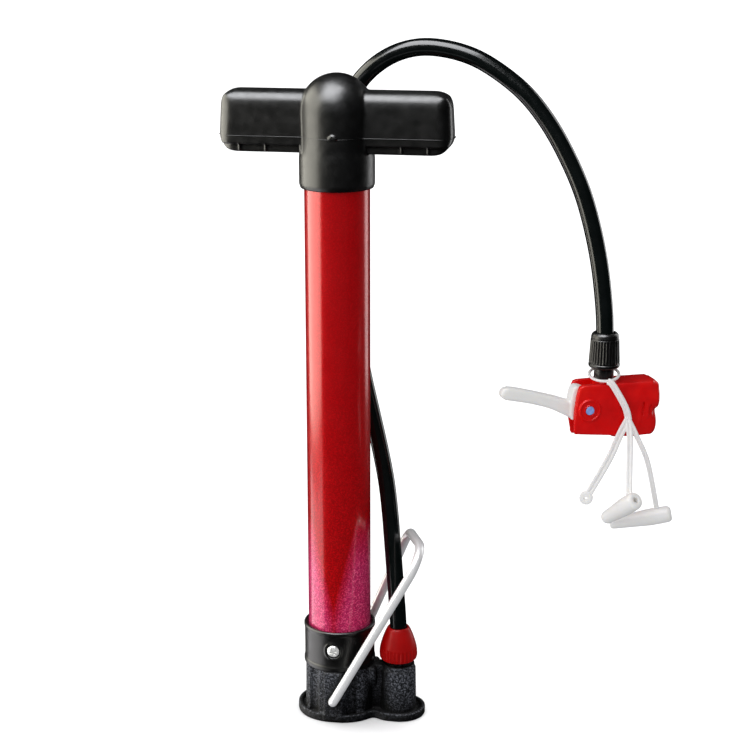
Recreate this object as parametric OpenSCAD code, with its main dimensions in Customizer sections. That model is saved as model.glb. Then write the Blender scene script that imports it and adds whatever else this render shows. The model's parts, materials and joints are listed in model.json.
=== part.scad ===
// Floor bike pump with a T handle, a wire foot peg and a twin-valve head on a hose.
// Frame: +Z up the barrel's axis, the floor at Z = 0, +X towards the hose port, -Y the front.

/* [Barrel] */
// Outside diameter of the steel barrel
barrel_od = 35; // [34:0.5:35]
// Wall of the barrel tube
barrel_wall = 1; // [0.8:0.1:1.2]
// Length of the barrel tube
barrel_len = 286; // [276:1:287]

/* [Base] */
// Thickness of the flange that stands on the floor
flange_h = 4.5; // [4:0.5:5]
// Height of the column and of the port boss
column_h = 30.5; // [30:0.5:31]
// Distance from the barrel's axis to the hose port's axis
port_x = 33.8; // [33:0.2:34.4]
// Radius of the column under the barrel
column_r = 20; // [19.6:0.1:20.2]

/* [Foot peg] */
// Diameter of the bent wire
peg_d = 5.2; // [5:0.1:5.4]
// Height of the peg's pivot above the floor
peg_z = 13; // [12.5:0.5:13.5]

/* [Plunger] */
// Diameter of the piston rod
rod_d = 8; // [7:0.5:8]
// Radial clearance of the rod in its guide
running = 0.05; // [0.03:0.01:0.08]

/* [Handle] */
// Width across both arms
handle_w = 125; // [120:1:130]
// Depth of an arm, front to back
arm_depth = 23; // [22:1:24]

/* [Hose and head] */
// Outside diameter of the hose
hose_d = 9.4; // [9:0.1:9.4]
// Turn of the pump head about its neck, in degrees
head_turn = 22; // [20:1:24]

/* [Hidden] */
$fn = 64;

// Barrel and what it holds
barrel_r = barrel_od / 2;
bore_r = barrel_r - barrel_wall;
gasket_h = 2;
barrel_z = column_h + gasket_h;
barrel_top = barrel_z + barrel_len;
spigot_r = bore_r - 0.1;
spigot_top = 48;
collar_r = 20.1;
collar_top = 54;
screw_z = 43;
screw_r = 1.5;
screw_hole_r = 1.6;
cap_plug = 18.5;
cap_lip = 2.5;

// Base: two round lobes joined by a waist
lobe_r = 20.8;
lobe_shift = 3;
port_lobe_r = 14.1;
port_lobe_shift = [-2.5, 1.2];
waist_r = 4;
waist_ease = 0.02;
boss_r = 10.2;
port_neck_r = 7;
port_neck_top = 43;
valve_bore_r = 4;
channel_z = 8;
cover_h = 2;
pad_w = 10.7;
pad_y = 21;

// Plunger, from the nut upwards
rod_r = rod_d / 2;
stud_r = 3;
nut_z = 50.8;
nut_h = 5;
washer_h = 1.2;
piston_top = 74;
rod_top = 338;
stud_top = 350;
handle_nut_z = 340;
nut_across = 10;

// Handle
skirt_z = 301;
arm_z = [319.3, 353];
lip_z = 324.2;
hub_r = 19.6;
skirt_r = 20.1;
handle_top = 361;
rib_x = [36, 50];

// Foot peg: each leg's far end, as x and z
peg_y = 24.1;
peg_front_tip = [51.8, 107.8];
peg_back_tip = [36, 101];

// Pump head, in its own frame: X to the valve end, Y to the back, Z up
head_pos = [143, 8, 0];
head_top = 199.8;
pin_pos = [-9.9, 0, 185.8];
slot_end = -4.7;
schrader_z = 190;
presta_z = 176.6;
cap_x = 25.5;
neck_top = 212;
neck_foot = 193;
neck_root_r = 4;
cheek = 4.4;
nut_foot = 207.3;

// Hose route from the barb in the base to the barb in the head's neck
HOSE_ROUTE = [
    [33.8, 0, 44.6], [33.5, 0.2, 56], [32.4, 1, 70], [30.9, 2.8, 86], [29.2, 5.4, 102],
    [27.2, 9, 118], [24.4, 13.4, 134], [20, 18.6, 151], [14.8, 22.6, 170], [9.2, 25.2, 192],
    [4.4, 26.2, 216], [1.8, 26.4, 241], [-3.4, 26.8, 266], [-7.4, 27, 290], [-7.6, 27, 312],
    [-3.4, 27, 332], [4, 27, 349], [13.6, 27, 360.6], [26, 26.6, 368.7], [40, 26.2, 372.4],
    [55, 25.8, 371.5], [70, 25, 367.1], [84.6, 23.4, 358.8], [97.8, 21.4, 348.2], [109.6, 19.2, 334],
    [119.6, 16.8, 317.6], [128, 14.4, 300], [134.2, 12.2, 281], [138.8, 10.4, 261],
    [141.8, 9, 240], [142.8, 8.2, 226], [143, 8, 213.6]
];

// Lanyard strap routes, each with its own thickness
STEM = [[145.6, -1, 201.8], [147.8, -1.6, 200.7], [150.9, -1.4, 196], [153.8, -0.8, 190.9],
    [156, 0, 186], [157.2, 0.9, 181]];
EYELET_LEG = [[157.2, 0.9, 181], [152.9, 0.4, 171.7], [147.8, 0.8, 158.2], [137.6, 2, 137.4]];
MIDDLE_LEG = [[157.2, 0.9, 181], [158.4, -0.8, 171], [158.9, -4.4, 156], [159.4, -11.4, 142.6]];
RIGHT_LEG = [[157.2, 0.9, 181], [161.8, 0.7, 172], [168.4, 2.2, 156.6], [174.4, 6.8, 128.4]];
EYELET_POS = [136.2, 2, 134.8];
CONE_ENDS = [[147, -0.1, 124.4], [163.4, -16.7, 142]];
BALL_ENDS = [[149.4, 7, 118.8], [182, 7, 127]];

// ---------- helpers ----------

function unit(v) = v / norm(v);

// A unit vector square to d
function square_to(d) = abs(d.z) < 0.9 ? unit(cross(d, [0, 0, 1])) : unit(cross(d, [1, 0, 0]));

// Places children with their Z axis along dir, starting at p
module aim(p, dir) {
    z = unit(dir);
    x = square_to(z);
    y = cross(z, x);
    multmatrix([[x.x, y.x, z.x, p.x], [x.y, y.y, z.y, p.y], [x.z, y.z, z.z, p.z]]) children();
}

// Points of a round bend of radius bend at corner b, between points a and c
function elbow(a, b, c, bend, steps = 6) =
    let (d1 = unit(b - a), d2 = unit(c - b), turn = acos(d1 * d2),
         inward = unit(d2 - (d1 * d2) * d1),
         centre = b - d1 * bend * tan(turn / 2) + inward * bend)
    [for (i = [0:steps]) centre + bend * (d1 * sin(turn * i / steps) - inward * cos(turn * i / steps))];

// The corner points p with every corner but the ends rounded by its own bend
function rounded(p, bends) = let (n = len(p) - 1) concat([p[0]],
    [for (i = [1:n - 1]) each elbow(p[i - 1], p[i], p[i + 1], bends[i - 1])], [p[n]]);

// Smooth curve through route points, sub steps per span
function spline(a, b, c, d, t) =
    0.5 * (2 * b + (c - a) * t + (2 * a - 5 * b + 4 * c - d) * t * t
    + (3 * b - a - 3 * c + d) * t * t * t);
function smooth(p, sub) = let (n = len(p) - 1) [
    for (i = [0:n - 1], k = [0:sub - 1])
        spline(p[max(i - 1, 0)], p[i], p[i + 1], p[min(i + 2, n)], k / sub),
    p[n]
];

// A tube swept along the points p; wide and thick are its half sizes, and side is any
// direction that the route never runs along
module swept(p, wide, thick, sides, side = [0, 1, 0.2]) {
    n = len(p);
    rings = [for (i = [0:n - 1])
        let (t = unit(p[min(i + 1, n - 1)] - p[max(i - 1, 0)]),
             across = unit(cross(t, side)), up = cross(across, t))
        for (k = [0:sides - 1])
            p[i] + across * wide * cos(360 * k / sides) + up * thick * sin(360 * k / sides)];
    walls = [for (i = [0:n - 2], k = [0:sides - 1], half = [0, 1])
        let (a = i * sides + k, b = i * sides + (k + 1) % sides)
            half == 0 ? [a, b, b + sides] : [a, b + sides, a + sides]];
    polyhedron(rings, concat([[for (k = [sides - 1:-1:0]) k]], walls,
        [[for (k = [0:sides - 1]) (n - 1) * sides + k]]), convexity = 6);
}

module tube(outer, inner, h) {
    difference() {
        cylinder(r = outer, h = h);
        translate([0, 0, -1]) cylinder(r = inner, h = h + 2);
    }
}

module slot_shape(length, half) {
    circle(half);
    translate([length, 0]) circle(half);
    translate([0, -half]) square([length, 2 * half]);
}

module head_frame() {
    translate(head_pos) rotate([0, 0, head_turn]) children();
}

// Cylinder along the head's X axis
module along_x(x, z, r, h) {
    translate([x, 0, z]) rotate([0, 90, 0]) cylinder(r = r, h = h);
}

// ---------- base ----------

// The flange's outline, drawn in by inset
module flange_outline(inset = 0) {
    ra = lobe_r - inset;
    rb = port_lobe_r - inset;
    port = [port_x + port_lobe_shift[0], port_x + port_lobe_shift[1]];
    span = port[0] - lobe_shift;
    da = lobe_r + waist_r;
    db = port_lobe_r + waist_r;
    along = (span * span + da * da - db * db) / (2 * span);
    corner = [lobe_shift + along, sqrt(da * da - along * along)];
    for (x = [-lobe_shift, lobe_shift]) translate([x, 0]) circle(ra);
    translate([-lobe_shift, -ra]) square([2 * lobe_shift, 2 * ra]);
    for (x = port) translate([x, 0]) circle(rb);
    translate([port[0], -rb]) square([port[1] - port[0], 2 * rb]);
    difference() {
        polygon([[lobe_shift, 0], corner, [port[0], 0], [corner.x, -corner.y]]);
        for (s = [-1, 1]) translate([corner.x, s * corner.y])
            circle(waist_r + waist_ease + inset);
    }
}

module base() {
    rim = 2.2;
    dish = 1.8;
    web_x = 12;
    web_y = 4.5;
    swell = [23.2, 9.5, 15];
    flute_r = 5;
    flute_z = flange_h + 0.3;
    peg_hole_y = 14;
    color("dimgray") difference() {
        union() {
            difference() {
                linear_extrude(flange_h) flange_outline();
                translate([0, 0, flange_h - dish]) linear_extrude(flange_h) flange_outline(rim);
            }
            cylinder(r = column_r, h = column_h);
            cylinder(r = spigot_r, h = spigot_top);
            translate([-pad_w / 2, -pad_y, 1]) cube([pad_w, 2 * pad_y, column_h - 1]);
            translate([web_x, -web_y, 1]) cube([port_x - web_x, 2 * web_y, column_h - 1.5]);
            translate([web_x, -swell.y, swell.z])
                cube([swell.x - web_x, 2 * swell.y, column_h - 0.5 - swell.z]);
            translate([port_x, 0, 0]) cylinder(r = boss_r, h = column_h);
            translate([port_x, 0, 0]) cylinder(r = port_neck_r, h = port_neck_top);
        }
        for (a = [62, 127, 168, 192, 233, 298])
            rotate([0, 0, a]) translate([column_r + 2.6, 0, flute_z])
                cylinder(r = flute_r, h = column_h);
        // pivot holes of the foot peg
        for (s = [-1, 1])
            translate([0, s * (pad_y + 1), peg_z]) rotate([s * 90, 0, 0])
                cylinder(r = peg_d / 2 + running, h = pad_y + 1 - peg_hole_y);
        // air way: down the spigot, along the channel, up through the check valve
        translate([0, 0, 1]) cylinder(r = 3, h = spigot_top);
        translate([0, 0, -1]) linear_extrude(channel_z + 1) slot_shape(port_x, 2.5);
        translate([0, 0, -1]) linear_extrude(cover_h + 1) slot_shape(port_x, 5);
        translate([port_x, 0, 1]) cylinder(r = 2, h = 24);
        translate([port_x, 0, 22]) cylinder(r = valve_bore_r, h = 30);
        for (s = [-1, 1])
            translate([0, s * 8, screw_z]) rotate([-s * 90, 0, 0]) cylinder(r = screw_r, h = 12);
    }
}

module channel_cover() {
    color("dimgray") linear_extrude(cover_h) slot_shape(port_x, 5);
}

module valve_seat() {
    color("goldenrod") translate([port_x, 0, 22]) tube(valve_bore_r, 1.6, 3);
}

module check_ball() {
    color("silver") translate([port_x, 0, 26.95]) sphere(2.5);
}

module check_spring() {
    turns = 4;
    steps = 12;
    wire = 0.25;
    coil = 1.7;
    low = 29.1;
    high = 33.7;
    color("silver") swept([for (i = [0:turns * steps])
        [port_x + coil * cos(360 * i / steps), coil * sin(360 * i / steps),
         low + (high - low) * i / (turns * steps)]], wire, wire, 8);
}

module barrel_gasket() {
    color("black") translate([0, 0, column_h]) tube(barrel_r, spigot_r, gasket_h);
}

module barrel_collar() {
    inner = barrel_r + 0.1;
    sink_r = 4.2;
    rim = 1;
    color("black") difference() {
        union() {
            translate([0, 0, column_h]) cylinder(r = collar_r, h = collar_top - column_h - rim);
            translate([0, 0, collar_top - rim]) cylinder(r1 = collar_r, r2 = collar_r - 0.8, h = rim);
        }
        translate([0, 0, column_h - 1]) cylinder(r = inner, h = 30);
        for (a = [0, 180]) rotate([0, 0, a]) {
            translate([0, -inner + 1, screw_z]) rotate([90, 0, 0]) cylinder(r = screw_hole_r, h = 10);
            translate([0, -collar_r + 0.7, screw_z]) rotate([90, 0, 0]) cylinder(r = sink_r, h = 5);
        }
    }
}

module collar_screws() {
    head_h = 1.6;
    face = collar_r - 0.7;
    color("silver") for (a = [0, 180]) rotate([0, 0, a])
        translate([0, -face, screw_z]) difference() {
            union() {
                rotate([90, 0, 0]) cylinder(r = 3.5, h = 0.8);
                translate([0, -0.8, 0]) rotate([90, 0, 0]) cylinder(r1 = 3.5, r2 = 2.2, h = head_h - 0.8);
                translate([0, 9, 0]) rotate([90, 0, 0]) cylinder(r = screw_r, h = 9);
            }
            for (t = [20, 110])
                translate([0, -head_h, 0]) rotate([0, t, 0]) cube([3.6, 2, 0.7], center = true);
        }
}

// ---------- barrel ----------

module barrel() {
    color("crimson") difference() {
        translate([0, 0, barrel_z]) tube(barrel_r, bore_r, barrel_len);
        translate([0, 30, screw_z]) rotate([90, 0, 0]) cylinder(r = screw_hole_r, h = 60);
    }
}

module barrel_cap() {
    color("black") difference() {
        union() {
            translate([0, 0, barrel_top - cap_plug]) cylinder(r = bore_r - 0.05, h = cap_plug);
            translate([0, 0, barrel_top]) cylinder(r = barrel_r - 0.1, h = cap_lip);
        }
        cylinder(r = rod_r + running, h = 400);
        translate([0, 0, barrel_top - cap_plug - 1]) tube(14, 7, cap_plug - 2);
    }
}

// ---------- plunger ----------

module piston() {
    bottom = nut_z + nut_h + washer_h + 2.3;
    color("ivory") difference() {
        union() {
            translate([0, 0, bottom]) cylinder(r = bore_r - 0.3, h = 3.2);
            translate([0, 0, bottom]) cylinder(r = 12, h = piston_top - bottom);
            translate([0, 0, piston_top - 4]) cylinder(r = bore_r - 0.3, h = 4);
        }
        cylinder(r = stud_r + running, h = 100);
    }
}

module cup_seal() {
    top = nut_z + nut_h + washer_h + 2.2;
    lip = 7;
    color("black") difference() {
        translate([0, 0, top - lip]) cylinder(r = bore_r - running, h = lip);
        translate([0, 0, top - lip - 1]) cylinder(r = bore_r - 1.8, h = lip - 1.1);
        cylinder(r = stud_r + running, h = 100);
    }
}

module seal_washer() {
    color("silver") translate([0, 0, nut_z + nut_h + 0.1]) tube(12, stud_r + running, washer_h);
}

module hex_nut(z, across, h) {
    difference() {
        translate([0, 0, z]) cylinder(r = across / 2 / cos(30), h = h, $fn = 6);
        cylinder(r = stud_r, h = 400);
    }
}

module piston_nut() {
    color("silver") hex_nut(nut_z, nut_across, nut_h);
}

module piston_rod() {
    foot = piston_top + 0.1;
    tail = nut_z - 0.8;
    color("silver") {
        translate([0, 0, foot]) cylinder(r = rod_r, h = rod_top - foot);
        translate([0, 0, tail]) cylinder(r = stud_r, h = stud_top - tail);
    }
}

// ---------- handle ----------

// Rounded bar that holds both arms
module arm_envelope() {
    high_r = 9;
    low_r = 12;
    edge_r = 4;
    plan_r = 9;
    side = arm_depth / 2;
    end = handle_w / 2;
    intersection() {
        translate([0, side + 1, 0]) rotate([90, 0, 0]) linear_extrude(arm_depth + 2) hull()
            for (s = [-1, 1]) {
                translate([s * (end - high_r - 1), arm_z[1] - high_r]) circle(high_r, $fn = 32);
                translate([s * (end - low_r), arm_z[0] + low_r]) circle(low_r, $fn = 32);
            }
        translate([-end - 1, 0, 0]) rotate([90, 0, 90]) linear_extrude(handle_w + 2) hull()
            for (s = [-1, 1]) {
                translate([s * (side - high_r), arm_z[1] - high_r]) circle(high_r, $fn = 32);
                translate([s * (side - edge_r), arm_z[0] + edge_r]) circle(edge_r, $fn = 32);
            }
        translate([0, 0, arm_z[0] - 1]) linear_extrude(40) hull()
            for (s = [-1, 1], t = [-1, 1])
                translate([s * (end - plan_r), t * (side - plan_r)]) circle(plan_r, $fn = 32);
    }
}

// One pocket between ribs in the underside of an arm
module arm_pocket(x0, x1) {
    wall = 3.6;
    recess = 1.8;
    spine = 0.8;
    side = arm_depth / 2;
    for (s = [-1, 1]) {
        translate([x0, s > 0 ? spine : -side + wall, arm_z[0] - 1])
            cube([x1 - x0, side - wall - spine, 25]);
        translate([x0, s > 0 ? side - recess : -side - 1, arm_z[0] - 1])
            cube([x1 - x0, recess + 1, lip_z - arm_z[0] + 1]);
    }
}

module handle() {
    rib = 0.5;
    cone_z = [316, 323];
    ceiling = barrel_top + cap_lip + 0.1;
    hub_shoulder = handle_top - hub_r;
    color("black") difference() {
        union() {
            difference() {
                arm_envelope();
                for (s = [0, 180]) rotate([0, 0, s]) {
                    arm_pocket(hub_r + 1.5, rib_x[0] - rib);
                    arm_pocket(rib_x[0] + rib, rib_x[1] - rib);
                    arm_pocket(rib_x[1] + rib, handle_w / 2 - 9);
                }
            }
            translate([0, 0, skirt_z]) cylinder(r1 = skirt_r - 0.8, r2 = skirt_r, h = 2);
            translate([0, 0, skirt_z + 2]) cylinder(r = skirt_r, h = cone_z[0] - skirt_z - 2);
            translate([0, 0, cone_z[0]]) cylinder(r1 = skirt_r, r2 = hub_r, h = cone_z[1] - cone_z[0]);
            translate([0, 0, cone_z[1]]) cylinder(r = hub_r, h = hub_shoulder - cone_z[1]);
            translate([0, 0, hub_shoulder]) sphere(hub_r);
        }
        translate([0, 0, skirt_z - 1]) cylinder(r = barrel_r + 0.7, h = ceiling - skirt_z + 1);
        translate([0, 0, skirt_z]) cylinder(r = rod_r, h = rod_top - skirt_z);
        translate([0, 0, skirt_z]) cylinder(r = stud_r, h = stud_top - skirt_z);
        translate([0, 0, handle_nut_z]) cylinder(r = nut_across / 2 / cos(30), h = nut_h, $fn = 6);
    }
}

module handle_nut() {
    color("silver") hex_nut(handle_nut_z, nut_across, nut_h);
}

// ---------- foot peg ----------

module foot_peg() {
    pin_in = 14.6;
    wire_in = 20;
    bends = [3.2, 14, 9, 3.2];
    color("gainsboro") {
        swept(rounded([
            [0, -wire_in, peg_z], [0, -peg_y, peg_z], [peg_front_tip.x, -peg_y, peg_front_tip.y],
            [peg_back_tip.x, peg_y, peg_back_tip.y], [0, peg_y, peg_z], [0, wire_in, peg_z]
        ], bends), peg_d / 2 - 0.03, peg_d / 2 - 0.03, 16, [-0.9, 0, 0.45]);
        for (s = [-1, 1])
            translate([0, s * (pad_y + 0.2), peg_z]) rotate([s * 90, 0, 0])
                cylinder(r = peg_d / 2, h = pad_y + 0.2 - pin_in);
    }
}

// ---------- hose ----------

// Barb that starts at the foot of its shank and points up
module barb(shank_r, shank_h, flange_r) {
    flange = 1.4;
    difference() {
        union() {
            cylinder(r = shank_r, h = shank_h);
            translate([0, 0, shank_h]) cylinder(r = flange_r, h = flange);
            translate([0, 0, shank_h + flange]) cylinder(r = 2.4, h = 11);
            for (i = [0:2])
                translate([0, 0, shank_h + flange + 1.6 + 3 * i])
                    cylinder(r1 = 2.9, r2 = 2.4, h = 2.4);
        }
        translate([0, 0, -1]) cylinder(r = 1.4, h = 40);
    }
}

module hose_barb() {
    shank = port_neck_top - 34;
    color("goldenrod") translate([port_x, 0, 34]) barb(valve_bore_r, shank, 5.8);
}

module hose_nut() {
    flutes = 28;
    color("red") translate([port_x, 0, 0]) difference() {
        rotate_extrude() polygon([
            [port_neck_r + 0.1, 33], [8.6, 33], [9.6, 33.4], [10.4, 34.4], [10.75, 36],
            [10.7, 38], [10.3, 40.5], [9.5, 43.6], [8.5, 46.8], [7.5, 49.4], [6.6, 51.2],
            [5.9, 52.2], [5.2, 52.5], [5, 52.4], [5, 45.2], [6.2, 45.2], [6.2, 44], [port_neck_r + 0.1, 44]
        ]);
        for (i = [0:flutes - 1])
            rotate([0, 0, 360 * i / flutes]) translate([11.1, 0, 32]) cylinder(r = 0.8, h = 8.4);
    }
}

module hose() {
    color("black") swept(smooth(HOSE_ROUTE, 2), hose_d / 2, hose_d / 2, 12);
}

// ---------- pump head ----------

module head_barb() {
    shank = 6;
    color("goldenrod") translate([head_pos.x, head_pos.y, neck_top - shank]) barb(2.8, shank, 4.7);
}

module head_nut() {
    ribs = 30;
    color("black") translate([head_pos.x, head_pos.y, 0]) difference() {
        rotate_extrude() polygon([
            [5.4, nut_foot], [7.7, nut_foot], [8.4, nut_foot + 0.9], [8.4, nut_foot + 2],
            [7.5, nut_foot + 16], [7, nut_foot + 18], [5.9, nut_foot + 19], [5.1, nut_foot + 19],
            [5.1, nut_foot + 10], [5.4, nut_foot + 10]
        ]);
        for (i = [0:ribs - 1])
            rotate([0, 0, 360 * i / ribs]) translate([8.7, 0, nut_foot + 2]) rotate([0, -3.7, 0])
                cylinder(r = 0.55, h = 12.5);
    }
}

module head_neck() {
    socket = 7.4;
    color("black") translate([head_pos.x, head_pos.y, 0]) difference() {
        union() {
            translate([0, 0, neck_foot]) cylinder(r = neck_root_r, h = head_top + 3 - neck_foot);
            translate([0, 0, head_top + 1.2]) cylinder(r = 5.3, h = neck_top - head_top - 1.2);
        }
        translate([0, 0, neck_top - socket]) cylinder(r = 2.8, h = 2 * socket);
        translate([0, 0, neck_foot - 1]) cylinder(r = 1.2, h = 30);
    }
}

// Outer shape of the head's main moulding
module head_shell() {
    foot = 168.2;
    width = 8.4;
    intersection() {
        translate([0, 12, 0]) rotate([90, 0, 0]) linear_extrude(24) hull() {
            translate([-13.3, head_top - 2.6]) circle(2, $fn = 32);
            translate([-17, 173.8]) circle(1, $fn = 32);
            translate([12, foot]) square([cap_x - 12, 1]);
            translate([cap_x - 1, head_top - 2]) square([1, 2]);
        }
        translate([0, 0, 160]) linear_extrude(50) hull() {
            for (s = [-1, 1]) translate([-17, s * (width - 2)]) circle(1.4, $fn = 32);
            for (s = [-1, 1]) translate([12, s * (width - 0.5) - 0.5]) square([14, 1]);
        }
    }
}

module head_body() {
    boss = 6.1;
    cam_room = 9.3;
    color("red") head_frame() difference() {
        union() {
            head_shell();
            translate([0, 0, head_top - 2]) cylinder(r = 6.6, h = 3.2);
            translate([pin_pos.x, 8.3, pin_pos.z]) rotate([90, 0, 0]) cylinder(r = boss, h = 16.6);
        }
        // slot of the lever, and the round space of its cam
        translate([slot_end - 30, -cheek, 160]) cube([30, 2 * cheek, 50]);
        translate([pin_pos.x, cheek, pin_pos.z]) rotate([90, 0, 0])
            cylinder(r = cam_room, h = 2 * cheek);
        translate([pin_pos.x, 20, pin_pos.z]) rotate([90, 0, 0]) cylinder(r = 2.5, h = 40);
        // chamber of the clamp plunger and the two valve chambers
        translate([slot_end - 1, -4.15, 173.2]) cube([13.6, 8.3, 16.9]);
        along_x(4.5, schrader_z, 6.5, 30);
        along_x(4.5, presta_z, 4.2, 30);
        // neck socket and its air way
        translate([0, 0, neck_foot]) cylinder(r = neck_root_r, h = 20);
        along_x(-0.5, neck_foot + 2.2, 1.1, 8);
    }
}

module head_cap() {
    color("red") head_frame() difference() {
        union() {
            along_x(cap_x, schrader_z, 9, 3);
            translate([cap_x + 3, 0, schrader_z]) rotate([0, 90, 0]) cylinder(r1 = 9, r2 = 7.9, h = 1);
            along_x(cap_x, presta_z, 8.2, 2.2);
            translate([cap_x + 2.2, 0, presta_z]) rotate([0, 90, 0])
                cylinder(r1 = 8.2, r2 = 7, h = 0.8);
            translate([cap_x, -6, 178]) cube([2, 12, 8]);
        }
        along_x(cap_x - 1, schrader_z, 4.5, 10);
        along_x(cap_x - 1, presta_z, 3.5, 10);
    }
}

module schrader_grommet() {
    color("black") head_frame() translate([cap_x - 8.5, 0, schrader_z]) rotate([0, 90, 0])
        tube(6.5, 3.95, 8.5);
}

module presta_grommet() {
    color("black") head_frame() translate([cap_x - 8.5, 0, presta_z]) rotate([0, 90, 0])
        tube(4.2, 3.05, 8.5);
}

module clamp_plunger() {
    color("ivory") head_frame() difference() {
        union() {
            translate([-2.3, -4, 173.6]) cube([8.3, 8, 15.8]);
            along_x(6, schrader_z, 6.4, 9.2);
            along_x(6, presta_z, 4.1, 9.2);
        }
        along_x(7, schrader_z, 4.2, 12);
        along_x(7, presta_z, 3.2, 12);
    }
}

// The lever about its pin: a cam, the root between the cheeks, and the finger arm
module lever() {
    cam_r = 7.6;
    cam_shift = 1.5;
    cam_at = -115;
    root_w = 8.2;
    thick = 7;
    color("whitesmoke") head_frame() translate(pin_pos) rotate([90, 0, 0]) difference() {
        union() {
            translate([cam_shift * cos(cam_at), cam_shift * sin(cam_at), -root_w / 2])
                cylinder(r = cam_r, h = root_w);
            translate([0, 0, -root_w / 2]) linear_extrude(root_w) polygon([
                [4.2, 5], [3.4, 7.8], [0.6, 10.3], [-1.8, 11.3], [-3.7, 12], [-6, 12.4],
                [-7.7, 11.6], [-8.7, 8.8], [-9.3, 5], [-9.3, -3], [-8.5, -5.8], [-5, -6.9]]);
            translate([0, 0, -thick / 2]) linear_extrude(thick) {
                polygon([
                    [-7, 3.6], [-12, 5.1], [-16.4, 6.7], [-22.6, 8.5], [-28.8, 10.2], [-35, 11.8],
                    [-41.1, 13.1], [-43.8, 13.5], [-44.9, 6.7], [-41, 5.9], [-36.4, 5],
                    [-30.2, 3.6], [-24, 1.8], [-19.3, 0.1], [-14.6, -2.2], [-9.3, -5], [-7, -5.6]]);
                translate([-44.4, 10.1]) circle(3.45);
            }
        }
        translate([0, 0, -10]) cylinder(r = 2.5 + running, h = 20);
    }
}

module lever_pin() {
    color("royalblue") head_frame() translate([pin_pos.x, 8.5, pin_pos.z]) rotate([90, 0, 0])
        cylinder(r = 2.5, h = 17);
}

// ---------- lanyard and its adapters ----------

module adapter_lanyard() {
    wide = 1.45;
    thin = 0.75;
    color("whitesmoke") {
        translate([143.2, 7, 203.6]) rotate([14, 0, 0]) rotate_extrude()
            translate([7.9, 0]) circle(0.95, $fn = 16);
        swept(smooth(STEM, 3), 1.9, thin, 8);
        for (leg = [EYELET_LEG, MIDDLE_LEG, RIGHT_LEG]) swept(smooth(leg, 3), wide, thin, 8);
        translate(EYELET_POS) rotate([90, 0, 0]) difference() {
            translate([0, 0, -1.1]) cylinder(r = 3.4, h = 2.2);
            translate([0, 0, -2]) cylinder(r = 1, h = 4);
        }
    }
}

// Hollow cone from its narrow end to its wide, open end
module nozzle(ends, narrow, wide) {
    size = norm(ends[1] - ends[0]);
    corner = 1.4;
    taper = 0.6 * size;
    way = 0.9;
    bore = 1.5;
    deep = 8;
    aim(ends[0], ends[1] - ends[0]) rotate_extrude() polygon([
        [way, 0], [narrow - 0.6, 0], [narrow, corner], [wide, taper], [wide, size - corner],
        [wide - 0.7, size], [bore, size], [bore, size - deep], [way, size - deep]
    ]);
}

module cone_nozzle() {
    color("whitesmoke") nozzle(CONE_ENDS, 3.5, 4.9);
}

module ball_nozzle() {
    color("whitesmoke") nozzle(BALL_ENDS, 3, 4.6);
}

base();
channel_cover();
valve_seat();
check_ball();
check_spring();
barrel_gasket();
barrel_collar();
collar_screws();
barrel();
barrel_cap();
piston();
cup_seal();
seal_washer();
piston_nut();
piston_rod();
handle();
handle_nut();
foot_peg();
hose_barb();
hose_nut();
hose();
head_barb();
head_nut();
head_neck();
head_body();
head_cap();
schrader_grommet();
presta_grommet();
clamp_plunger();
lever();
lever_pin();
adapter_lanyard();
cone_nozzle();
ball_nozzle();
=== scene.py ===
"""Looks of a floor bike pump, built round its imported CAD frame.

Shapes are worked out in millimetres and turned to metres when a mesh is made. The pump head has a
frame of its own: U runs to the valve end, V to the back and Z up.
"""

import json
import math

import bpy
import numpy as np
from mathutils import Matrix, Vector


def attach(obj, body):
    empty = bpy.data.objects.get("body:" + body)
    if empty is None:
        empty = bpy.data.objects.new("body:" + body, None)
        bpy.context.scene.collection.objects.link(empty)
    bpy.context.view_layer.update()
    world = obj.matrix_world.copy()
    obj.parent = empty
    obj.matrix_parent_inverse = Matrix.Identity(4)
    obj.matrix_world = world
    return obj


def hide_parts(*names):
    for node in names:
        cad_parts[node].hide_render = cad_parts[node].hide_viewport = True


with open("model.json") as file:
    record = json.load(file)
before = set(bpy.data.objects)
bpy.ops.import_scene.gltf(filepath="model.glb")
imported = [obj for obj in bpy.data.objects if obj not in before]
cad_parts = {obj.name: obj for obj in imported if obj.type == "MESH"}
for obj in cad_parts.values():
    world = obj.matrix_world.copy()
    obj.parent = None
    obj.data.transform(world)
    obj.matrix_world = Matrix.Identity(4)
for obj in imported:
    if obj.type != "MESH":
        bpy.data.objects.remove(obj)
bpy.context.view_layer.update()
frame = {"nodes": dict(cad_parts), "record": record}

MM = 0.001
NODES = frame["nodes"]

# ---------------------------------------------------------------------------
# Sizes, in millimetres
# ---------------------------------------------------------------------------

BARREL_R, BORE_R = 17.5, 16.5
BARREL_Z = (32.5, 318.5)
COLUMN_H, COLUMN_R = 30.5, 20.0
COLLAR_R, COLLAR_TOP = 20.1, 54.0
SCREW_Z = 43.0
PORT_X = 33.8
PEG_R, PEG_Z, PEG_Y = 2.6, 13.0, 24.1
HUB_R, SKIRT_R, SKIRT_Z, DOME_TOP = 19.6, 20.1, 301.0, 361.0
ARM_END, ARM_SIDE, ARM_Z = 62.5, 11.5, (319.3, 353.0)
LIP_Z, PARTING_Z = 324.2, 328.5
RIB_X = (36.0, 50.0)

HEAD_POS, HEAD_TURN = (143.0, 8.0), math.radians(22)
HEAD_TOP = 199.8
PIN_U, PIN_Z = -9.9, 185.8
SLOT_END = -4.7
SCHRADER_Z, PRESTA_Z = 190.0, 176.6
CAP_U = 25.5
NUT_FOOT = 207.3

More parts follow.
